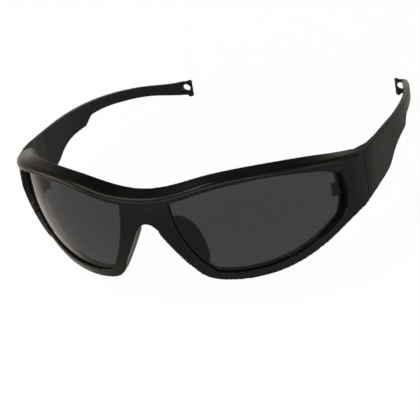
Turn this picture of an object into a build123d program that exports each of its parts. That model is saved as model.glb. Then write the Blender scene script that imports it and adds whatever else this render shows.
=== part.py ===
from build123d import *
import math
import os

os.makedirs("parts", exist_ok=True)

# Safety glasses: a wrap-round moulded front with two tinted lenses, soft nose pads and two
# folding temples on three-barrel hinges. Everything is drawn in the wearing position, +X to
# the wearer's left, -Y forwards and +Z up, and then tilted and set down on a table.

# ---- Driving dimensions, mm and degrees ----
SPHERE_CENTRE = Vector(0, 59.1, -3.4)   # both lenses share this centre of curvature
LENS_RADIUS = 75.6                      # front surface, about a 7 base curve
LENS_THICKNESS = 2.0
GROOVE_DEPTH = 1.5                      # how far a lens edge sits inside the rim
GROOVE_GAP = 0.05                       # slack on each side of the lens in its groove
RIM_FRONT = 76.6                        # radii of the rim's front and back faces
RIM_BACK = 72.7
REAR_RELIEF = 0.7                       # how much wider the opening is behind the lens
OPENING_CORNER_R = 1.5
CONE_NEAR = 60.0                        # radii between which an outline is swept, clear of the rim
CONE_FAR = 95.0
BEVEL_RUN = 9.0                         # the bevel beside the lens opens out by BEVEL_WIDTH
BEVEL_WIDTH = 7.0                       # over this run ahead of the endpiece's face
BEVEL_SINK = 0.2                        # how far the bevel's foot sits inside the rim's face
SIDE_FRONT = 78.2                       # how far out the endpiece stands beside the lens
SIDE_CAP = 78.2                         # sphere that rounds the endpiece's outer face
SIDE_CAP_SHIFT = Vector(2.8, 3.0, 3.7)  # its centre, from the lenses' centre
LENS_AZIMUTH = 32                       # where a lens's middle looks, from straight ahead
LENS_ELEVATION = -8

BROW_STATIONS = [
    # azimuth, crease (front lower edge) radius and z, top rear edge radius and z
    (0, 79.0, -0.7, 72.9, 3.9),
    (9, 79.9, 0.8, 73.2, 5.3),
    (18, 80.3, 3.9, 73.7, 7.8),
    (28, 79.2, 4.7, 73.7, 8.7),
    (38, 78.8, 3.7, 73.4, 8.0),
    (48, 78.7, 1.7, 73.2, 6.3),
    (56, 77.9, -1.4, 72.4, 3.9),
    (61, 76.7, -3.4, 71.7, 2.2),
    (65.5, 75.1, -4.8, 71.9, 1.0),
    (74, 72.9, -6.5, 72.0, 0.0),
]
RIDGE_BULGE = 0.9                       # how far the brow's front ridge swells out
RIDGE_HEIGHT = 3.3                      # grows towards the brow's ends, past RIDGE_GROWTH_START
RIDGE_GROWTH = 0.14                     # per degree of azimuth
RIDGE_GROWTH_START = 46
RIDGE_LEAN = 0.5                        # how far the ridge's upper edge lies behind its lower one
RIDGE_TOP_GAP = 0.3                     # least drop from the top rear edge to the ridge
BROW_REAR_STEP = 1.6                    # depth and drop of the bevel behind the top rear edge
BROW_REAR_DROP = 1.2
CREASE_UNDERCUT = 0.6

WORK_FLOOR = -40.0                      # height under every plan outline, and the height swept
WORK_HEIGHT = 60.0
WORK_SIDE = 20.0                        # x inside every side outline, and the width swept
WORK_WIDTH = 60.0

SEAM_Y = 29.0                           # rear face of the endpieces
SEAM_GAP = 0.3
SEAM_TOP = 0.1
SEAM_BOTTOM = -19.4
SEAM_OUTER_X = 69.9                     # outer faces of endpiece and temple at the seam
SIDE_OUTER_X = 70.8                     # outer face of the temple's straight stretch
SIDE_START_Y = 38.0                     # where that stretch starts

TEMPLE_STRAIGHT_END = 61.0              # where the temple starts to curve inwards
TEMPLE_BEND = 165.0                     # radius of that curve
TEMPLE_BEND_END = 15.5                  # direction, from +Y inwards, where that curve ends
TEMPLE_REACH = 380.0                    # radius of the flatter stretch behind the ear
TEMPLE_CURL_START = 21.75
TEMPLE_CURL = 3.5                       # radius of the curl at the tip
TEMPLE_CURL_END = 139.0
TEMPLE_THICK = 2.2
TEMPLE_BLOCK_END = 46.0                 # the thicker hinge end narrows to this thickness here
LANYARD_HOLE_D = 3.4
LANYARD_HOLE_INSET = 3.1                # along the tip's outer face, from its end
LANYARD_HOLE_Z = -20.6
LANYARD_HOLE_REACH = 4.0                # longer than the tip is thick
TIP_BEAD_Z = -21.0                      # the taller bead beyond the hole
TIP_BEAD_HEIGHT = 7.4
TIP_BEAD_LENGTH = 1.1
TIP_BEAD_CORNER_R = 0.6

HINGE_X = 62.2
HINGE_Y = SEAM_Y + SEAM_GAP / 2
HINGE_Z = -12.0
BARREL_R = 1.6
KNUCKLE_H = 2.7
KNUCKLE_GAP = 0.12
KNUCKLE_ROOT = 0.6                      # how far a knuckle's arm runs past the hinge line
LEAF_FACE = 1.7                         # from the hinge line to the plastic faces under the leaves
FRONT_LEAF_TURN = 30.0                  # the leaves' directions in plan, from the Y axis
TEMPLE_LEAF_TURN = 24.0
HINGE_SCREW_D = 1.4
HINGE_SCREW_HEAD_D = 2.6
HINGE_SCREW_HEAD_H = 0.8
HINGE_SLOT_WIDTH = 0.4
HINGE_SLOT_DEPTH = 0.35
RUN_CLEARANCE = 0.03
SWEEP_CLEARANCE = 0.35
LEAF_T = 1.0
LEAF_H = 5.0
LEAF_LENGTH = 7.0
LEAF_FACE_MARGIN = 1.0                  # how far the flat faces run past the leaves
LEAF_SCREW_PLACES = (0.27, 0.75)        # along the leaf, from the hinge
LEAF_SCREW_D = 1.2
LEAF_SCREW_HEAD_D = 2.2
LEAF_SCREW_HEAD_H = 0.5
LEAF_SCREW_LENGTH = 2.0
LEAF_SCREW_BORE = 2.2                   # depth of the blind bore that takes it
CROSS_WIDTH = 0.35                      # the cross recess in its head
CROSS_DEPTH = 0.3

PAD_ROOT_TOP = (-39.5, -0.5)            # the pad's root line, on the lens plane
PAD_ROOT_FOOT = (-23.5, -20.5)
PAD_LEAN = Vector(0.45, 1, 0.1)         # the way the pad runs back from its root
PAD_DEPTH = 9.4
PAD_THICK = 2.0
PAD_ROOT_SINK = 2.0                     # length trimmed off where the pad meets the rim
PAD_EDGE_R = 0.8

REST_TILT = -5.07                       # nose-up turn that brings rims and tips level


def unit(azimuth, elevation):
    """Direction from the sphere's centre, azimuth from straight ahead towards +X."""
    a, e = math.radians(azimuth), math.radians(elevation)
    return Vector(math.sin(a) * math.cos(e), -math.cos(a) * math.cos(e), math.sin(e))


lens_normal = unit(LENS_AZIMUTH, LENS_ELEVATION)
lens_plane = Plane(
    origin=SPHERE_CENTRE + lens_normal * LENS_RADIUS,
    x_dir=unit(LENS_AZIMUTH + 90, 0),
    z_dir=lens_normal,
)


def cone_of(outline):
    """Solid swept by an outline on the lens plane along rays from the sphere's centre."""
    with BuildPart() as cone:
        for radius in (CONE_NEAR, CONE_FAR):
            with BuildSketch(lens_plane.offset(radius - LENS_RADIUS)):
                add(outline)
                scale(by=radius / LENS_RADIUS)
        loft(ruled=True)
    return cone.part


def shell_of(inner, outer):
    """Hollow sphere between two radii about the lenses' centre."""
    with BuildPart() as shell:
        with Locations(SPHERE_CENTRE):
            Sphere(outer)
            Sphere(inner, mode=Mode.SUBTRACT)
    return shell.part


# ---- Outlines on the lens plane ----
with BuildSketch() as opening:
    with BuildLine():
        ThreePointArc((-35.2, 12.8), (-10, 18.7), (35.0, 11.0))
        ThreePointArc((35.0, 11.0), (36.3, 3.5), (35.6, -5.0))
        Polyline((35.6, -5.0), (33.6, -8.6))
        ThreePointArc((33.6, -8.6), (12, -18.6), (-13, -20.8))
        Line((-13, -20.8), (-18.4, -20.0))
        ThreePointArc((-18.4, -20.0), (-29.6, -5.0), (-35.2, 12.8))
    make_face()
    fillet(opening.vertices(), OPENING_CORNER_R)

with BuildSketch() as rim_outline:
    with BuildLine():
        ThreePointArc((-47.1, 3.9), (-43.2, 2.6), (-40.0, -1.4))
        Line((-40.0, -1.4), (-27.4, -18.0))
        ThreePointArc((-27.4, -18.0), (-24.0, -21.6), (-19.0, -24.0))
        ThreePointArc((-19.0, -24.0), (3, -25.0), (24.3, -19.4))
        ThreePointArc((24.3, -19.4), (35, -14.2), (46, -6.0))
        Polyline((46, -6.0), (46, 12), (-10, 20.5), (-56, 17), (-56, 4.3), (-47.1, 3.9))
    make_face()

# ---- Brow bar: lofted through its stations, from one side round to the other ----
with BuildPart() as brow_bar:
    for station in [(-a, *rest) for a, *rest in BROW_STATIONS[:0:-1]] + BROW_STATIONS:
        azimuth, crease_r, crease_z, top_r, top_z = station
        forward = unit(azimuth, 0)
        section_plane = Plane(
            origin=(0, SPHERE_CENTRE.Y, 0),
            x_dir=forward,
            z_dir=forward.cross(Vector(0, 0, 1)),
        )
        growth = RIDGE_GROWTH * max(abs(azimuth) - RIDGE_GROWTH_START, 0)
        ridge_z = min(crease_z + RIDGE_HEIGHT + growth, top_z - RIDGE_TOP_GAP)
        rear_r = top_r - BROW_REAR_STEP
        with BuildSketch(section_plane):
            with BuildLine():
                ThreePointArc(
                    (crease_r, crease_z),
                    (crease_r + RIDGE_BULGE, (crease_z + ridge_z) / 2),
                    (crease_r - RIDGE_LEAN, ridge_z),
                )
                Polyline(
                    (crease_r - RIDGE_LEAN, ridge_z),
                    (top_r, top_z),
                    (rear_r, top_z - BROW_REAR_DROP),
                    (rear_r, crease_z - CREASE_UNDERCUT),
                    (crease_r, crease_z),
                )
            make_face()
    loft()

# ---- Hinge: three barrels on a vertical screw, and two leaves screwed to the plastic ----
barrel_height = 3 * KNUCKLE_H + 2 * KNUCKLE_GAP
barrel_bottom = HINGE_Z - barrel_height / 2


def leaf_side(turn):
    """Plan plane on the hinge line: local y along a leaf, backwards, and local x outboard."""
    a = math.radians(turn)
    return Plane(origin=(HINGE_X, HINGE_Y, 0), x_dir=(math.cos(a), -math.sin(a), 0), z_dir=(0, 0, 1))


def upright(side, depth):
    """Upright plane parallel to a leaf, at a depth outboard of the hinge line."""
    return Plane(origin=side.origin + side.x_dir * depth, x_dir=side.y_dir, z_dir=side.x_dir)


front_side = leaf_side(FRONT_LEAF_TURN)
temple_side = leaf_side(TEMPLE_LEAF_TURN)
leaf_start = BARREL_R + SWEEP_CLEARANCE
front_leaf_ends = (-leaf_start, -leaf_start - LEAF_LENGTH)
temple_leaf_ends = (leaf_start, leaf_start + LEAF_LENGTH)
hinge_floor = front_side.offset(barrel_bottom)


def face_point(side, along):
    """Plan point on the plastic face under a leaf."""
    point = side.from_local_coords(Vector(LEAF_FACE, along, 0))
    return (point.X, point.Y)


def face_at_seam(side, y):
    """Plan point where the face under a leaf reaches the seam."""
    return face_point(side, (y - face_point(side, 0)[1]) / side.y_dir.Y)


front_face_end = face_point(front_side, front_leaf_ends[1] - LEAF_FACE_MARGIN)
temple_face_end = face_point(temple_side, temple_leaf_ends[1] + LEAF_FACE_MARGIN)


def knuckle_base(index):
    """Height of the foot of knuckle 0, 1 or 2, counted from below."""
    return barrel_bottom + index * (KNUCKLE_H + KNUCKLE_GAP)


# Space that the barrels turn in, cut out of both plastic pieces.
with BuildPart() as barrel_space:
    with BuildSketch(hinge_floor.offset(-SWEEP_CLEARANCE)):
        Circle(BARREL_R + SWEEP_CLEARANCE)
    extrude(amount=barrel_height + HINGE_SCREW_HEAD_H + 2 * SWEEP_CLEARANCE)


def leaf(knuckles, side, ends):
    """Hinge leaf: a plate on the plastic's inner face and the knuckles it carries."""
    low, high = sorted(ends)
    with BuildPart() as piece:
        with BuildSketch(side.offset(HINGE_Z - LEAF_H / 2)):
            with Locations((LEAF_FACE - LEAF_T / 2, (low + high) / 2)):
                Rectangle(LEAF_T, high - low)
        extrude(amount=LEAF_H)
        for index in knuckles:
            with BuildSketch(side.offset(knuckle_base(index))):
                Circle(BARREL_R)
                with Locations((LEAF_FACE - LEAF_T / 2, ends[0] / 2)):
                    Rectangle(LEAF_T, abs(ends[0]) + KNUCKLE_ROOT)
            extrude(amount=KNUCKLE_H)
        with BuildSketch(hinge_floor):
            Circle(HINGE_SCREW_D / 2 + RUN_CLEARANCE)
        extrude(amount=barrel_height, mode=Mode.SUBTRACT)
        with BuildSketch(upright(side, LEAF_FACE - LEAF_T)):
            with Locations(*leaf_screw_places(ends)):
                Circle(LEAF_SCREW_D / 2 + RUN_CLEARANCE)
        extrude(amount=LEAF_T, mode=Mode.SUBTRACT)
    return piece.part


def leaf_screw_places(ends):
    """The two screws of a leaf, as (distance along it, z)."""
    return [(ends[0] + part * (ends[1] - ends[0]), HINGE_Z) for part in LEAF_SCREW_PLACES]


def leaf_screws(side, ends):
    """Pair of self-tapping screws that hold a leaf to the plastic."""
    plate = upright(side, LEAF_FACE - LEAF_T)
    places = leaf_screw_places(ends)
    with BuildPart() as screws:
        with BuildSketch(plate):
            with Locations(*places):
                Circle(LEAF_SCREW_D / 2)
        extrude(amount=LEAF_T + LEAF_SCREW_LENGTH)
        with BuildSketch(plate):
            with Locations(*places):
                Circle(LEAF_SCREW_HEAD_D / 2)
        extrude(amount=-LEAF_SCREW_HEAD_H)
        with BuildSketch(plate.offset(-LEAF_SCREW_HEAD_H)):
            with Locations(*places):
                Rectangle(LEAF_SCREW_HEAD_D, CROSS_WIDTH)
                Rectangle(CROSS_WIDTH, LEAF_SCREW_HEAD_D)
        extrude(amount=CROSS_DEPTH, mode=Mode.SUBTRACT)
    return screws.part


def screw_bores(side, ends):
    """Blind bores in the plastic for a leaf's two screws."""
    with BuildPart() as bores:
        with BuildSketch(upright(side, LEAF_FACE)):
            with Locations(*leaf_screw_places(ends)):
                Circle(LEAF_SCREW_D / 2 + RUN_CLEARANCE)
        extrude(amount=LEAF_SCREW_BORE)
    return bores.part


# ---- Endpiece: the broad side wall between lens and hinge ----
with BuildSketch() as bevel_outline:
    offset(opening.sketch, amount=BEVEL_WIDTH)

with BuildPart() as endpiece:
    with BuildSketch(Plane.XY.offset(WORK_FLOOR)):
        with BuildLine():
            Spline(
                (58.0, 8.0),
                (66.4, 17.8),
                (SEAM_OUTER_X, SEAM_Y),
                tangents=[(0.75, 1.0), (0.2, 1.0)],
            )
            Polyline(
                (SEAM_OUTER_X, SEAM_Y),
                face_at_seam(front_side, SEAM_Y),
                front_face_end,
                (55.0, 10.0),
                (58.0, 8.0),
            )
        make_face()
    extrude(amount=WORK_HEIGHT)
    with BuildSketch(Plane.YZ.offset(WORK_SIDE)):
        with BuildLine():
            Polyline((SEAM_Y, SEAM_BOTTOM), (SEAM_Y, SEAM_TOP), (22, 0.6), (15, 2.4), (5, 5.0), (5, -40))
            Spline((5, -40), (14, -30.6), (20, -24.6), (25, -20.9), (SEAM_Y, SEAM_BOTTOM))
        make_face()
    extrude(amount=WORK_WIDTH, mode=Mode.INTERSECT)
    with Locations(SPHERE_CENTRE + SIDE_CAP_SHIFT):
        Sphere(SIDE_CAP, mode=Mode.INTERSECT)
    with BuildSketch(lens_plane.offset(RIM_FRONT - LENS_RADIUS - BEVEL_SINK)):
        add(opening.sketch)
        scale(by=RIM_FRONT / LENS_RADIUS)
    with BuildSketch(lens_plane.offset(SIDE_FRONT - LENS_RADIUS + BEVEL_RUN)):
        add(bevel_outline.sketch)
        scale(by=(SIDE_FRONT + BEVEL_RUN) / LENS_RADIUS)
    loft(ruled=True, mode=Mode.SUBTRACT)

rim_shell = shell_of(RIM_BACK, RIM_FRONT)
groove_shell = shell_of(LENS_RADIUS - LENS_THICKNESS - GROOVE_GAP, LENS_RADIUS + GROOVE_GAP)
with BuildSketch() as groove_outline:
    offset(opening.sketch, amount=GROOVE_DEPTH + GROOVE_GAP)
with BuildSketch() as lens_outline:
    offset(opening.sketch, amount=GROOVE_DEPTH)

with BuildSketch() as rear_outline:
    offset(opening.sketch, amount=REAR_RELIEF)

with BuildPart() as rear_opening:
    with Locations(SPHERE_CENTRE):
        Sphere(LENS_RADIUS - LENS_THICKNESS)
    add(cone_of(rear_outline.sketch), mode=Mode.INTERSECT)

with BuildPart() as groove:
    add(groove_shell)
    add(cone_of(groove_outline.sketch), mode=Mode.INTERSECT)


def on_sphere(point, radius):
    """Where the ray through a point of the lens plane meets a sphere."""
    ray = lens_plane.from_local_coords(Vector(point[0], point[1], 0)) - SPHERE_CENTRE
    return SPHERE_CENTRE + ray.normalized() * radius


# ---- Nose pad: a soft blade moulded onto the rear of the rim's nose edge ----
pad_top = on_sphere(PAD_ROOT_TOP, RIM_BACK)
pad_foot = on_sphere(PAD_ROOT_FOOT, RIM_BACK)
pad_along = (pad_foot - pad_top).normalized()
pad_back = (PAD_LEAN - pad_along * PAD_LEAN.dot(pad_along)).normalized()
pad_face = Plane(origin=(pad_top + pad_foot) * 0.5, x_dir=pad_along, z_dir=pad_along.cross(pad_back))
pad_length = (pad_foot - pad_top).length

with BuildPart() as nose_pad_left:
    with BuildSketch(pad_face.offset(-PAD_THICK / 2)):
        with BuildLine():
            Spline(
                (-pad_length / 2, -PAD_ROOT_SINK),
                (-pad_length * 0.42, PAD_DEPTH * 0.82),
                (-pad_length * 0.12, PAD_DEPTH),
                (pad_length * 0.25, PAD_DEPTH * 0.74),
                (pad_length * 0.44, PAD_DEPTH * 0.42),
                (pad_length / 2, -PAD_ROOT_SINK),
            )
            Line((pad_length / 2, -PAD_ROOT_SINK), (-pad_length / 2, -PAD_ROOT_SINK))
        make_face()
    extrude(amount=PAD_THICK)
    fillet(nose_pad_left.edges().group_by(Axis.Y)[-1], PAD_EDGE_R)
    with Locations(SPHERE_CENTRE):
        Sphere(RIM_BACK, mode=Mode.INTERSECT)

# ---- Temple: a strip bent in plan, cut to its side outline ----
bend_centre = (SIDE_OUTER_X - TEMPLE_BEND, TEMPLE_STRAIGHT_END)


def on_circle(centre, radius, angle):
    """Point of a plan circle, the angle taken from +X."""
    a = math.radians(angle)
    return (centre[0] + radius * math.cos(a), centre[1] + radius * math.sin(a))


reach_centre = on_circle(bend_centre, TEMPLE_BEND - TEMPLE_REACH, TEMPLE_BEND_END)
curl_centre = on_circle(reach_centre, TEMPLE_REACH - TEMPLE_CURL, TEMPLE_CURL_START)
# Centre, radius and the directions where each arc of the outer face starts and ends.
TEMPLE_ARCS = [
    (bend_centre, TEMPLE_BEND, 0, TEMPLE_BEND_END),
    (reach_centre, TEMPLE_REACH, TEMPLE_BEND_END, TEMPLE_CURL_START),
    (curl_centre, TEMPLE_CURL, TEMPLE_CURL_START, TEMPLE_CURL_END),
]
hole_angle = TEMPLE_CURL_END - math.degrees(LANYARD_HOLE_INSET / TEMPLE_CURL)
lanyard_plane = Plane(
    origin=(*on_circle(curl_centre, TEMPLE_CURL, hole_angle), LANYARD_HOLE_Z),
    x_dir=(0, 0, 1),
    z_dir=(math.cos(math.radians(hole_angle)), math.sin(math.radians(hole_angle)), 0),
)

tip_direction = math.radians(TEMPLE_CURL_END)
tip_plane = Plane(
    origin=(*on_circle(curl_centre, TEMPLE_CURL, TEMPLE_CURL_END), TIP_BEAD_Z),
    x_dir=(0, 0, 1),
    z_dir=(-math.sin(tip_direction), math.cos(tip_direction), 0),
)

with BuildPart() as temple_left:
    with BuildSketch(Plane.XY.offset(WORK_FLOOR)):
        with BuildLine():
            Spline(
                (SEAM_OUTER_X, SEAM_Y + SEAM_GAP),
                (SIDE_OUTER_X, SIDE_START_Y),
                tangents=[(0.2, 1.0), (0, 1)],
            )
            Line((SIDE_OUTER_X, SIDE_START_Y), (SIDE_OUTER_X, TEMPLE_STRAIGHT_END))
            for centre, radius, start, end in TEMPLE_ARCS:
                for inset in (0, TEMPLE_THICK):
                    ThreePointArc(
                        on_circle(centre, radius - inset, start),
                        on_circle(centre, radius - inset, (start + end) / 2),
                        on_circle(centre, radius - inset, end),
                    )
            Line(
                on_circle(curl_centre, TEMPLE_CURL, TEMPLE_CURL_END),
                on_circle(curl_centre, TEMPLE_CURL - TEMPLE_THICK, TEMPLE_CURL_END),
            )
            Polyline(
                (SIDE_OUTER_X - TEMPLE_THICK, TEMPLE_STRAIGHT_END),
                (SIDE_OUTER_X - TEMPLE_THICK, TEMPLE_BLOCK_END),
                temple_face_end,
                face_at_seam(temple_side, SEAM_Y + SEAM_GAP),
                (SEAM_OUTER_X, SEAM_Y + SEAM_GAP),
            )
        make_face()
    extrude(amount=WORK_HEIGHT)
    with BuildSketch(Plane.YZ.offset(WORK_SIDE)):
        with BuildLine():
            Spline((28, 0.2), (40, -0.2), (62, -1.4), (97.6, -5.4), (128, -12.8), (142, -17.2), (152, -18.8))
            Line((152, -18.8), (152, -26.0))
            Spline((152, -26.0), (142, -23.0), (126, -16.8), (108, -12.0), (97, -10.0), (88, -9.2))
            Spline((88, -9.2), (85.5, -9.8), (83.2, -11.2), (81.2, -12.0))
            Spline((81.2, -12.0), (74, -11.8), (66, -12.5), (58, -15.4))
            Spline((58, -15.4), (54.8, -16.7), (50, -17.5), (38, -17.9), (28, -19.8))
            Line((28, -19.8), (28, 0.2))
        make_face()
    extrude(amount=WORK_WIDTH, mode=Mode.INTERSECT)
    add(barrel_space.part, mode=Mode.SUBTRACT)
    add(screw_bores(temple_side, temple_leaf_ends), mode=Mode.SUBTRACT)
    with BuildSketch(tip_plane):
        with Locations((0, -TEMPLE_THICK / 2)):
            RectangleRounded(TIP_BEAD_HEIGHT, TEMPLE_THICK, TIP_BEAD_CORNER_R)
    extrude(amount=-TIP_BEAD_LENGTH)
    with BuildSketch(lanyard_plane):
        Circle(LANYARD_HOLE_D / 2)
    extrude(amount=-LANYARD_HOLE_REACH, mode=Mode.SUBTRACT)

# ---- Front: rim, brow bar and endpiece as one moulding, drawn for one side and mirrored ----
with BuildPart() as front_half:
    add(rim_shell)
    add(cone_of(rim_outline.sketch), mode=Mode.INTERSECT)
    add(brow_bar.part)
    add(endpiece.part)
    split(bisect_by=Plane.YZ, keep=Keep.TOP)
    split(bisect_by=Plane.XZ.offset(-SEAM_Y), keep=Keep.TOP)
    add(cone_of(opening.sketch), mode=Mode.SUBTRACT)
    add(rear_opening.part, mode=Mode.SUBTRACT)
    add(groove.part, mode=Mode.SUBTRACT)
    add(barrel_space.part, mode=Mode.SUBTRACT)
    add(screw_bores(front_side, front_leaf_ends), mode=Mode.SUBTRACT)

with BuildPart() as front_frame:
    add(front_half.part)
    mirror(front_half.part, about=Plane.YZ)

# ---- Lens: a piece of a spherical shell, wider than its opening all round ----
with BuildPart() as lens_left:
    add(shell_of(LENS_RADIUS - LENS_THICKNESS, LENS_RADIUS))
    add(cone_of(lens_outline.sketch), mode=Mode.INTERSECT)

# ---- Hinge screw: slotted head above the top knuckle, shank down to the bottom one ----
with BuildPart() as hinge_screw_left:
    with BuildSketch(hinge_floor):
        Circle(HINGE_SCREW_D / 2)
    extrude(amount=barrel_height)
    with BuildSketch(hinge_floor.offset(barrel_height)):
        Circle(HINGE_SCREW_HEAD_D / 2)
    extrude(amount=HINGE_SCREW_HEAD_H)
    with BuildSketch(hinge_floor.offset(barrel_height + HINGE_SCREW_HEAD_H)):
        Rectangle(HINGE_SCREW_HEAD_D, HINGE_SLOT_WIDTH)
    extrude(amount=-HINGE_SLOT_DEPTH, mode=Mode.SUBTRACT)

left_pieces = {
    "lens": lens_left.part,
    "nose_pad": nose_pad_left.part,
    "temple": temple_left.part,
    "hinge_front_leaf": leaf((0, 2), front_side, front_leaf_ends),
    "hinge_temple_leaf": leaf((1,), temple_side, temple_leaf_ends),
    "hinge_screw": hinge_screw_left.part,
    "front_leaf_screws": leaf_screws(front_side, front_leaf_ends),
    "temple_leaf_screws": leaf_screws(temple_side, temple_leaf_ends),
}

pieces = {"front_frame": front_frame.part}
for name, solid in left_pieces.items():
    pieces[name + "_left"] = solid
    pieces[name + "_right"] = solid.mirror(Plane.YZ)

# ---- Set down: rims and tips on the table, origin under the middle of the whole ----
tilted = {name: solid.rotate(Axis.X, REST_TILT) for name, solid in pieces.items()}
boxes = [solid.bounding_box() for solid in tilted.values()]
rear, front = max(box.max.Y for box in boxes), min(box.min.Y for box in boxes)
floor = min(box.min.Z for box in boxes)
rest_shift = Vector(0, -(rear + front) / 2, -floor)
for name, solid in tilted.items():
    placed = solid.translate(rest_shift)
    placed.label = name
    export_step(placed, f"parts/{name}.step")
    print(name, round(placed.volume, 1), placed.is_valid, len(placed.solids()))
print("rest shift", rest_shift, "depth", rear - front)
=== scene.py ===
"""Safety glasses with a moulded wrap-round front, tinted lenses and folding temples."""

from math import radians

import bmesh
import bpy
import numpy as np
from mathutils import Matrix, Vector


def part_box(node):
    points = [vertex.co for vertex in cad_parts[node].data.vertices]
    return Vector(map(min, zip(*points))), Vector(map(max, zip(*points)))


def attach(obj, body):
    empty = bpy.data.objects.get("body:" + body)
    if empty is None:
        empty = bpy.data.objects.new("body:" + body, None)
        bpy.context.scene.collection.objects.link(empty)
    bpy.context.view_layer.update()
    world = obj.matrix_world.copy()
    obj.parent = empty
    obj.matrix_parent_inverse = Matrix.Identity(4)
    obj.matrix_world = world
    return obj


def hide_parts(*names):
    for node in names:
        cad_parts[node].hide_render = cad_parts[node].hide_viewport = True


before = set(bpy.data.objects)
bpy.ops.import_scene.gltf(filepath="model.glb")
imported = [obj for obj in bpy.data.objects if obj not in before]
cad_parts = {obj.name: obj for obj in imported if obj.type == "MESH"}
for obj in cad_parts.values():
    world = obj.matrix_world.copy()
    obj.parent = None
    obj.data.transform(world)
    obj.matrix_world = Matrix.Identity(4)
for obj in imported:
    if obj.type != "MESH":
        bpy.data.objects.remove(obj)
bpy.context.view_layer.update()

MM = 0.001
SIDES = ("left", "right")
TEMPLE_STEEL = ("hinge_temple_leaf", "temple_leaf_screws")
FRONT_STEEL = ("hinge_front_leaf", "hinge_screw", "front_leaf_screws")

# ---- Camera: the viewing angle of a catalogue picture, from the wearer's left and above ----
CAMERA_PLACE = (0.32130, -0.70548, 0.40226)
CAMERA_TURN = (61.6456, 10.2322, 19.7637)
CAMERA_LENS = 188.57
CAMERA_SENSOR = 36.0
CAMERA_REACH = 20.0

# ---- Meshes: grid size and smoothing rounds of each kind of piece ----
FRONT_VOXEL = 0.40 * MM
TEMPLE_VOXEL = 0.26 * MM
PAD_VOXEL = 0.25 * MM
LENS_VOXEL = 0.45 * MM
STEEL_VOXEL = 0.10 * MM
FRONT_ROUNDS = 10
TEMPLE_ROUNDS = 18
PAD_ROUNDS = 14
LENS_ROUNDS = 6
STEEL_ROUNDS = 3
SOFT_ROUNDS = 60                    # where the front's own edges are rounder
SMOOTH_STEP = 0.52                  # share of the way to its neighbours that a point is moved
SMOOTH_RETURN = -0.535              # and then moved back, so that the whole doesn't shrink

# ---- Where the front's edges are rounder: each span runs from as cut to fully soft ----
NOSE_AZIMUTHS = (22, 14)            # degrees from straight ahead
NOSE_HEIGHTS = (34 * MM, 30 * MM)
SIDE_AZIMUTHS = (50, 56)
SIDE_DEPTH = 1 * MM                 # above the lenses' front faces
SIDE_SEAM_SPAN = (0.5 * MM, 3 * MM)     # ahead of the seam with the temple
OUTSIDE_DEPTH = 0.4 * MM
OUTSIDE_SEAM_SPAN = (0.3 * MM, 2 * MM)
OUTSIDE_SOFTNESS = 0.7

# ---- The lenses' common sphere, which the rim and its groove follow ----
SPHERE_CENTRE = np.array([0.0, -3.28, 28.88]) * MM
LENS_RADIUS = 75.6 * MM
LENS_THICKNESS = 2.0 * MM
LENS_SNAP = 0.35 * MM               # points this near a lens face are put exactly on it
GROOVE_HOLD = 0.15                  # how freely the groove's walls may be smoothed

# ---- Soft lining moulded over the rim's nose edges, in front of the pads ----
LINING_THICK = 0.50 * MM
LINING_FACING = 0.25                # how squarely a face must look at the nose to be lined
LINING_REACH = (4 * MM, 20 * MM)    # distance from the middle
LINING_HEIGHTS = (11 * MM, 27 * MM)
LINING_DEPTHS = (72.4 * MM, 76.5 * MM)
LINING_OUTLINE_ROUNDS = 12          # evens out the lining's stepped outline
LINING_OUTLINE_STEP = 0.6
LINING_ROUNDS = 4

# ---- Colours, linear ----
PLASTIC_TONES = ((0.0098, 0.0086, 0.0074), (0.0135, 0.0118, 0.0100))
PLASTIC_SCUFF = (0.040, 0.037, 0.034)
PLASTIC_EDGE = (0.032, 0.029, 0.026)
LENS_TONE = (0.0112, 0.0103, 0.0098)
LENS_DUST = (0.11, 0.105, 0.10)
RUBBER_TONES = ((0.235, 0.225, 0.215), (0.185, 0.172, 0.158))
RUBBER_EDGE = (0.29, 0.28, 0.27)
STEEL_TONES = ((0.47, 0.465, 0.455), (0.60, 0.595, 0.585))
STEEL_GRIME = (0.16, 0.145, 0.125)
STEEL_EDGE = (0.70, 0.70, 0.70)

# ---- Light ----
SKY_TOP = 0.02
SKY_SIDE = 0.42
SKY_BELOW = 0.24
SKY_TONE = (1.0, 0.94, 0.87)
CARD_WAY = (-0.52, 0.72, -0.46)     # a white card that the outer side of the right lens mirrors
CARD_GLOW = 0.75
CARD_TONE = (0.93, 0.82, 0.71)
CARD_EDGE = (0.80, 0.99)            # cosines off its middle where the card begins and is full
WALL_STEPS = (0.35, 0.53, 0.70)     # heights of the below, side and top glows, 0 down to 1 up
FLOOR_GLOW = 0.957
FLOOR_TONE = (0.12, 0.12, 0.12, 1)
FLOOR_HALF = 6.0
LIGHT_TARGET = (0, 0, 0.02)
LIGHTS = {
    # place, size, glow, colour
    "front_box": ((0.25, -1.5, 0.36), (2.7, 0.50), 1.8, (1.0, 0.96, 0.91)),
    "side_box_left": ((1.35, 0.0, 0.62), (0.9, 0.5), 1.1, (1.0, 0.94, 0.86)),
    "side_box_right": ((-1.5, -0.4, 0.12), (1.3, 0.7), 1.5, (1.0, 0.94, 0.86)),
    "top_box": ((-0.45, -0.22, 1.2), (0.9, 0.6), 2.4, (1.0, 0.95, 0.88)),
}


# ---------------------------------------------------------------- materials


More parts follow.
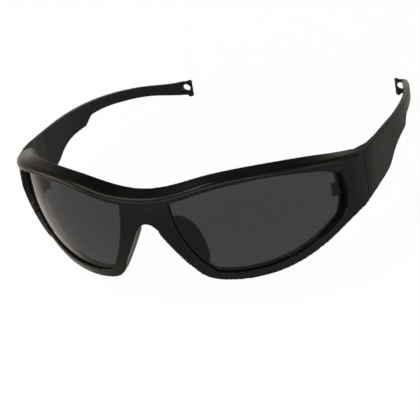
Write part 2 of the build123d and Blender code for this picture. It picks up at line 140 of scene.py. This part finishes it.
class Shade:
    """A node material built round one Principled shader."""

    def __init__(self, name):
        self.material = bpy.data.materials.new(name)
        self.material.use_nodes = True
        self.nodes, self.links = self.material.node_tree.nodes, self.material.node_tree.links
        self.shader = self.nodes["Principled BSDF"]
        self.place = self.nodes.new("ShaderNodeTexCoord").outputs["Object"]

    def plain(self, **values):
        """Sets uniform values on the shader's own sockets."""
        for name, value in values.items():
            self.shader.inputs[name.replace("_", " ")].default_value = value

    def stretched(self, scale):
        """Object place, scaled differently along each axis."""
        node = self.nodes.new("ShaderNodeMapping")
        node.inputs["Scale"].default_value = scale
        self.links.new(self.place, node.inputs["Vector"])
        return node.outputs["Vector"]

    def noise(self, scale, detail=2.0, rough=0.5, place=None):
        node = self.nodes.new("ShaderNodeTexNoise")
        node.inputs["Scale"].default_value = scale
        node.inputs["Detail"].default_value = detail
        node.inputs["Roughness"].default_value = rough
        self.links.new(place or self.place, node.inputs["Vector"])
        return node.outputs["Fac"]

    def span(self, value, low, high, out_low=0.0, out_high=1.0, smooth=True):
        """Maps a value from one span to another, clamped at its ends."""
        node = self.nodes.new("ShaderNodeMapRange")
        node.interpolation_type = "SMOOTHSTEP" if smooth else "LINEAR"
        ends = {"From Min": low, "From Max": high, "To Min": out_low, "To Max": out_high}
        for name, number in ends.items():
            node.inputs[name].default_value = number
        self.links.new(value, node.inputs["Value"])
        return node.outputs["Result"]

    def maths(self, kind, a, b):
        node = self.nodes.new("ShaderNodeMath")
        node.operation = kind
        for socket, value in zip(node.inputs, (a, b)):
            if isinstance(value, (int, float)):
                socket.default_value = value
            else:
                self.links.new(value, socket)
        return node.outputs["Value"]

    def mix(self, factor, a, b):
        """Colour a where the factor is 0 and colour b where it is 1."""
        node = self.nodes.new("ShaderNodeMix")
        node.data_type = "RGBA"
        self.links.new(factor, node.inputs["Factor"])
        for name, value in (("A", a), ("B", b)):
            socket = next(s for s in node.inputs if s.name == name and s.type == "RGBA")
            if isinstance(value, tuple):
                socket.default_value = (*value, 1)
            else:
                self.links.new(value, socket)
        return next(s for s in node.outputs if s.type == "RGBA")

    def edges(self, low, high):
        """1 on sharp outward edges, 0 on flat ground and in hollows."""
        node = self.nodes.new("ShaderNodeNewGeometry")
        return self.span(node.outputs["Pointiness"], low, high)

    def colour(self, value):
        self.links.new(value, self.shader.inputs["Base Color"])

    def roughness(self, value):
        self.links.new(value, self.shader.inputs["Roughness"])

    def bumps(self, *layers):
        """Chains bump layers, each a height, a strength and a depth in metres."""
        normal = None
        for height, strength, depth in layers:
            node = self.nodes.new("ShaderNodeBump")
            node.inputs["Strength"].default_value = strength
            node.inputs["Distance"].default_value = depth
            self.links.new(height, node.inputs["Height"])
            if normal:
                self.links.new(normal, node.inputs["Normal"])
            normal = node.outputs["Normal"]
        self.links.new(normal, self.shader.inputs["Normal"])


def frame_plastic():
    """Satin near-black nylon: fine spark grain, hairline scuffs, edges polished by handling."""
    shade = Shade("frame_plastic")
    grain = shade.noise(scale=4200.0, detail=3.0, rough=0.6)
    cloud = shade.noise(scale=55.0, detail=3.0)
    swell = shade.noise(scale=150.0)
    hair_x = shade.noise(scale=900.0, place=shade.stretched((0.05, 1.0, 1.0)))
    hair_y = shade.noise(scale=900.0, place=shade.stretched((1.0, 0.05, 1.0)))
    hairs = shade.maths("MAXIMUM", shade.span(hair_x, 0.66, 0.74), shade.span(hair_y, 0.67, 0.75))
    handled = shade.span(shade.noise(scale=120.0), 0.45, 0.62)
    scuffs = shade.maths("MULTIPLY", hairs, handled)
    rubbed = shade.span(shade.noise(scale=260.0, detail=3.0), 0.40, 0.62)
    worn = shade.maths("MULTIPLY", shade.edges(0.515, 0.56), rubbed)
    base = shade.mix(shade.span(cloud, 0.35, 0.65), *PLASTIC_TONES)
    base = shade.mix(shade.maths("MULTIPLY", scuffs, 0.5), base, PLASTIC_SCUFF)
    shade.colour(shade.mix(shade.maths("MULTIPLY", worn, 0.55), base, PLASTIC_EDGE))
    satin = shade.span(cloud, 0.3, 0.7, out_low=0.29, out_high=0.37)
    satin = shade.maths("ADD", satin, shade.maths("MULTIPLY", scuffs, 0.14))
    shade.roughness(shade.maths("SUBTRACT", satin, shade.maths("MULTIPLY", worn, 0.10)))
    shade.bumps((grain, 0.22, 0.03 * MM), (scuffs, 0.12, -0.02 * MM), (swell, 0.10, 0.10 * MM))
    shade.plain(IOR=1.50, Specular_IOR_Level=0.42)
    return shade.material


def lens_tint():
    """Smoke-grey polycarbonate: hard-coated, with faint wiping smears, fine scratches and dust."""
    shade = Shade("lens_tint")
    smear = shade.noise(scale=70.0, detail=4.0, rough=0.6, place=shade.stretched((1.0, 1.0, 0.35)))
    dust = shade.span(shade.noise(scale=1500.0, detail=1.0), 0.76, 0.80)
    strands = shade.noise(scale=700.0, detail=1.0, place=shade.stretched((0.04, 1.0, 0.6)))
    hairs = shade.span(strands, 0.74, 0.78)
    ripple = shade.noise(scale=25.0)
    shade.colour(shade.mix(shade.maths("MULTIPLY", dust, 0.35), LENS_TONE, LENS_DUST))
    rough = shade.span(smear, 0.42, 0.68, out_low=0.030, out_high=0.075)
    shade.roughness(shade.maths("ADD", rough, shade.maths("MULTIPLY", dust, 0.3)))
    shade.bumps((hairs, 0.05, -0.004 * MM), (ripple, 0.03, 0.05 * MM))
    shade.plain(IOR=1.58, Alpha=0.80, Coat_Weight=0.15, Coat_Roughness=0.03, Specular_IOR_Level=0.45)
    return shade.material


def pad_rubber():
    """Soft grey elastomer: matte, finely pebbled, darker where skin oil has settled."""
    shade = Shade("pad_rubber")
    pebble = shade.noise(scale=1700.0, detail=2.0, rough=0.55)
    dimples = shade.noise(scale=420.0)
    stain = shade.span(shade.noise(scale=180.0, detail=3.0), 0.42, 0.66)
    shade.colour(shade.mix(shade.edges(0.52, 0.57), shade.mix(stain, *RUBBER_TONES), RUBBER_EDGE))
    shade.roughness(shade.span(stain, 0.0, 1.0, out_low=0.68, out_high=0.54))
    shade.bumps((pebble, 0.5, 0.05 * MM), (dimples, 0.25, 0.08 * MM))
    shade.plain(IOR=1.45, Subsurface_Weight=0.12, Subsurface_Scale=0.0012, Sheen_Weight=0.15)
    return shade.material


def hinge_steel():
    """Small turned and stamped steel: drawn lines, polished edges and a little grime."""
    shade = Shade("hinge_steel")
    drawn = shade.noise(scale=2600.0, detail=3.0, rough=0.6, place=shade.stretched((1.0, 1.0, 0.06)))
    grime = shade.span(shade.noise(scale=800.0, detail=4.0, rough=0.6), 0.55, 0.72)
    bright = shade.edges(0.52, 0.60)
    base = shade.mix(shade.span(drawn, 0.3, 0.7), *STEEL_TONES)
    base = shade.mix(shade.maths("MULTIPLY", grime, 0.6), base, STEEL_GRIME)
    shade.colour(shade.mix(bright, base, STEEL_EDGE))
    lines = shade.span(drawn, 0.3, 0.7, out_low=0.26, out_high=0.38)
    rough = shade.maths("ADD", lines, shade.maths("MULTIPLY", grime, 0.25))
    shade.roughness(shade.maths("SUBTRACT", rough, shade.maths("MULTIPLY", bright, 0.08)))
    shade.bumps((drawn, 0.3, 0.012 * MM), (grime, 0.15, 0.02 * MM))
    shade.plain(Metallic=1.0)
    return shade.material


MATERIALS = {
    "frame_plastic": frame_plastic(),
    "lens_tint": lens_tint(),
    "pad_rubber": pad_rubber(),
    "hinge_steel": hinge_steel(),
}


def dress(obj, slot):
    """Gives an object one material."""
    obj.data.materials.clear()
    obj.data.materials.append(MATERIALS[slot])


# ---------------------------------------------------------------- meshes


def grid_arrays(mesh):
    """Vertex places and edge pairs of a mesh as arrays."""
    places = np.empty(len(mesh.vertices) * 3)
    mesh.vertices.foreach_get("co", places)
    pairs = np.empty(len(mesh.edges) * 2, dtype=np.int64)
    mesh.edges.foreach_get("vertices", pairs)
    return places.reshape(-1, 3), pairs.reshape(-1, 2)


def relaxed(places, pairs, weight, rounds):
    """Taubin smoothing, which rounds edges without shrinking the whole."""
    count = np.maximum(np.bincount(pairs.ravel(), minlength=len(places)), 1)[:, None]
    for turn in range(2 * rounds):
        step = SMOOTH_STEP if turn % 2 == 0 else SMOOTH_RETURN
        total = np.zeros_like(places)
        for a, b in ((0, 1), (1, 0)):
            for axis in range(3):
                total[:, axis] += np.bincount(pairs[:, a], places[pairs[:, b], axis], len(places))
        places = places + step * weight[:, None] * (total / count - places)
    return places


def ramp(values, start, end):
    """0 at start, 1 at end and a smooth step between."""
    t = np.clip((values - start) / (end - start), 0, 1)
    return t * t * (3 - 2 * t)


def remeshed(node, voxel):
    """Even quad mesh of a CAD node's surface, drawn back onto it, as a new object."""
    shape = bpy.data.objects.new(node + "_shape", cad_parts[node].data)
    piece = bpy.data.objects.new(node + "_moulded", shape.data.copy())
    for obj in (shape, piece):
        bpy.context.scene.collection.objects.link(obj)
    step = piece.modifiers.new("even", "REMESH")
    step.mode = "VOXEL"
    step.voxel_size = voxel
    fit = piece.modifiers.new("fit", "SHRINKWRAP")
    fit.target = shape
    fit.wrap_method = "NEAREST_SURFACEPOINT"
    graph = bpy.context.evaluated_depsgraph_get()
    mesh = bpy.data.meshes.new_from_object(piece.evaluated_get(graph))
    piece.modifiers.clear()
    piece.data = mesh
    bpy.data.objects.remove(shape)
    return piece


def finished(piece, places, node, body, slot):
    """Stores the smoothed places, gives the piece its material and rides it on its body."""
    mesh = piece.data
    mesh.vertices.foreach_set("co", places.ravel())
    mesh.update()
    mesh.polygons.foreach_set("use_smooth", [True] * len(mesh.polygons))
    dress(piece, slot)
    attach(piece, body)
    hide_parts(node)
    return piece


def moulded(node, body, slot, voxel, rounds):
    """The CAD surface with softly rounded edges."""
    piece = remeshed(node, voxel)
    places, pairs = grid_arrays(piece.data)
    return finished(piece, relaxed(places, pairs, np.ones(len(places)), rounds), node, body, slot)


def from_centre(places):
    """Distance from the lenses' centre, and azimuth in degrees from straight ahead."""
    away = places - SPHERE_CENTRE
    return np.linalg.norm(away, axis=1), np.degrees(np.arctan2(np.abs(away[:, 0]), -away[:, 1]))


def front_moulding():
    """The front, rounder at its nose edges and where the brow runs into the endpieces."""
    piece = remeshed("front_frame", FRONT_VOXEL)
    places, pairs = grid_arrays(piece.data)
    radius, azimuth = from_centre(places)
    back, face = LENS_RADIUS - LENS_THICKNESS - LENS_SNAP, LENS_RADIUS + LENS_SNAP
    groove = (radius > back) & (radius < face)
    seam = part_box("temple_left")[0][1]
    hold = np.where(groove, GROOVE_HOLD, 1.0)
    places = relaxed(places, pairs, hold, FRONT_ROUNDS)
    ahead = seam - places[:, 1]
    nose = ramp(azimuth, *NOSE_AZIMUTHS) * ramp(places[:, 2], *NOSE_HEIGHTS)
    side = ramp(azimuth, *SIDE_AZIMUTHS) * ramp(radius, face, face + SIDE_DEPTH)
    side = side * ramp(ahead, *SIDE_SEAM_SPAN)
    outside = ramp(radius, face, face + OUTSIDE_DEPTH) * ramp(ahead, *OUTSIDE_SEAM_SPAN)
    soft = np.maximum.reduce([nose, side, OUTSIDE_SOFTNESS * outside]) * np.where(groove, 0, 1)
    places = relaxed(places, pairs, soft, SOFT_ROUNDS)
    return finished(piece, places, "front_frame", "front", "frame_plastic")


def lens(side):
    """A lens whose two faces lie exactly on their spheres."""
    node = "lens_" + side
    piece = remeshed(node, LENS_VOXEL)
    places, pairs = grid_arrays(piece.data)
    places = relaxed(places, pairs, np.ones(len(places)), LENS_ROUNDS)
    radius, _ = from_centre(places)
    for face in (LENS_RADIUS, LENS_RADIUS - LENS_THICKNESS):
        near = np.abs(radius - face) < LENS_SNAP
        away = places[near] - SPHERE_CENTRE
        places[near] = SPHERE_CENTRE + away * (face / radius[near])[:, None]
    return finished(piece, places, node, "front", "lens_tint")


def outside_largest_patch(shape):
    """Faces that aren't in the largest patch of faces joined edge to edge."""
    patches, seen = [], set()
    for first in shape.faces:
        if first in seen:
            continue
        seen.add(first)
        patch, waiting = [], [first]
        while waiting:
            face = waiting.pop()
            patch.append(face)
            for other in {other for edge in face.edges for other in edge.link_faces} - seen:
                seen.add(other)
                waiting.append(other)
        patches.append(patch)
    largest = set(max(patches, key=len))
    return [face for face in shape.faces if face not in largest]


def nose_lining(side, front):
    """Thin rubber lining along the rim's nose edge, cut from the front's surface and thickened."""
    sign = 1 if side == "left" else -1
    shape = bmesh.new()
    shape.from_mesh(front.data)

    def lined(face):
        centre, facing = face.calc_center_median(), face.normal
        radius = (centre - Vector(SPHERE_CENTRE)).length
        return (
            -facing.x * sign > LINING_FACING
            and LINING_REACH[0] < centre.x * sign < LINING_REACH[1]
            and LINING_HEIGHTS[0] < centre.z < LINING_HEIGHTS[1]
            and LINING_DEPTHS[0] < radius < LINING_DEPTHS[1]
        )

    bmesh.ops.delete(shape, geom=[face for face in shape.faces if not lined(face)], context="FACES")
    bmesh.ops.delete(shape, geom=outside_largest_patch(shape), context="FACES")
    for _ in range(LINING_OUTLINE_ROUNDS):
        moves = {}
        for vert in shape.verts:
            rim = [edge.other_vert(vert).co for edge in vert.link_edges if edge.is_boundary]
            if len(rim) == 2:
                moves[vert] = (rim[0] + rim[1]) / 2
        for vert, place in moves.items():
            vert.co = vert.co.lerp(place, LINING_OUTLINE_STEP)
    mesh = bpy.data.meshes.new("nose_lining_" + side)
    shape.to_mesh(mesh)
    shape.free()
    piece = bpy.data.objects.new("nose_lining_" + side, mesh)
    bpy.context.scene.collection.objects.link(piece)
    skin = piece.modifiers.new("skin", "SOLIDIFY")
    skin.thickness, skin.offset = LINING_THICK, 0.0
    graph = bpy.context.evaluated_depsgraph_get()
    piece.data = bpy.data.meshes.new_from_object(piece.evaluated_get(graph))
    piece.modifiers.clear()
    places, pairs = grid_arrays(piece.data)
    places = relaxed(places, pairs, np.ones(len(places)), LINING_ROUNDS)
    piece.data.vertices.foreach_set("co", places.ravel())
    piece.data.polygons.foreach_set("use_smooth", [True] * len(piece.data.polygons))
    dress(piece, "pad_rubber")
    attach(piece, "front")


# ---------------------------------------------------------------- pieces

front = front_moulding()
for side in SIDES:
    lens(side)
    nose_lining(side, front)
    moulded("nose_pad_" + side, "front", "pad_rubber", PAD_VOXEL, PAD_ROUNDS)
    temple = "temple_" + side
    moulded(temple, temple, "frame_plastic", TEMPLE_VOXEL, TEMPLE_ROUNDS)
    for body, names in (("front", FRONT_STEEL), (temple, TEMPLE_STEEL)):
        for name in names:
            moulded(f"{name}_{side}", body, "hinge_steel", STEEL_VOXEL, STEEL_ROUNDS)

# ---------------------------------------------------------------- stage, light and camera

scene = bpy.context.scene
scene.view_settings.view_transform = "Standard"


def floor():
    """Large pale table under the object, as bright as the backdrop of a cut-out picture."""
    corners = [(x * FLOOR_HALF, y * FLOOR_HALF, 0) for x, y in ((-1, -1), (1, -1), (1, 1), (-1, 1))]
    mesh = bpy.data.meshes.new("floor")
    mesh.from_pydata(corners, [], [(0, 1, 2, 3)])
    obj = bpy.data.objects.new("floor", mesh)
    scene.collection.objects.link(obj)
    shade = Shade("floor_pale")
    shade.plain(Base_Color=FLOOR_TONE, Roughness=0.9, Specular_IOR_Level=0.0)
    shade.plain(Emission_Color=(1, 1, 1, 1), Emission_Strength=FLOOR_GLOW)
    mesh.materials.append(shade.material)
    obj.visible_glossy = False
    obj.visible_diffuse = False


floor()


def area_light(name, place, size, glow, colour):
    """Soft box of a given size and glow, turned to face the object."""
    light = bpy.data.lights.new(name, "AREA")
    light.shape = "RECTANGLE"
    light.size, light.size_y = size
    light.energy = glow * np.pi * size[0] * size[1]
    light.color = colour
    obj = bpy.data.objects.new(name, light)
    obj.location = place
    obj.rotation_euler = (Vector(LIGHT_TARGET) - Vector(place)).to_track_quat("-Z", "Y").to_euler()
    scene.collection.objects.link(obj)


for name, values in LIGHTS.items():
    area_light(name, *values)


def studio():
    """Dim walls for the object to reflect, white where the camera sees past the table."""
    world = bpy.data.worlds.new("studio")
    world.use_nodes = True
    nodes, links = world.node_tree.nodes, world.node_tree.links
    glow = nodes["Background"]
    place = nodes.new("ShaderNodeTexCoord")
    split = nodes.new("ShaderNodeSeparateXYZ")
    links.new(place.outputs["Generated"], split.inputs["Vector"])
    heights = nodes.new("ShaderNodeMapRange")
    heights.inputs["From Min"].default_value = -1.0
    links.new(split.outputs["Z"], heights.inputs["Value"])
    walls = nodes.new("ShaderNodeValToRGB")
    steps = walls.color_ramp.elements
    steps[0].position, steps[1].position = WALL_STEPS[0], WALL_STEPS[2]
    steps.new(WALL_STEPS[1])
    for step, level in zip(steps, (SKY_BELOW, SKY_SIDE, SKY_TOP)):
        step.color = (*(level * tone for tone in SKY_TONE), 1)
    links.new(heights.outputs["Result"], walls.inputs["Fac"])
    toward = nodes.new("ShaderNodeVectorMath")
    toward.operation = "DOT_PRODUCT"
    toward.inputs[1].default_value = CARD_WAY
    links.new(place.outputs["Generated"], toward.inputs[0])
    card = nodes.new("ShaderNodeMapRange")
    card.interpolation_type = "SMOOTHSTEP"
    card.inputs["From Min"].default_value, card.inputs["From Max"].default_value = CARD_EDGE
    card.inputs["To Max"].default_value = CARD_GLOW
    links.new(toward.outputs["Value"], card.inputs["Value"])
    both = nodes.new("ShaderNodeVectorMath")
    both.operation = "MULTIPLY_ADD"
    links.new(card.outputs["Result"], both.inputs[0])
    both.inputs[1].default_value = CARD_TONE
    links.new(walls.outputs["Color"], both.inputs[2])
    links.new(both.outputs["Vector"], glow.inputs["Color"])
    white = nodes.new("ShaderNodeBackground")
    seen = nodes.new("ShaderNodeLightPath")
    choose = nodes.new("ShaderNodeMixShader")
    links.new(seen.outputs["Is Camera Ray"], choose.inputs["Fac"])
    links.new(glow.outputs["Background"], choose.inputs[1])
    links.new(white.outputs["Background"], choose.inputs[2])
    links.new(choose.outputs["Shader"], nodes["World Output"].inputs["Surface"])
    white.inputs["Color"].default_value = (1, 1, 1, 1)
    scene.world = world


studio()

camera_data = bpy.data.cameras.new("camera")
camera_data.lens = CAMERA_LENS
camera_data.sensor_width = CAMERA_SENSOR
camera_data.clip_end = CAMERA_REACH
camera = bpy.data.objects.new("camera", camera_data)
camera.location = CAMERA_PLACE
camera.rotation_euler = [radians(a) for a in CAMERA_TURN]
scene.collection.objects.link(camera)
scene.camera = camera
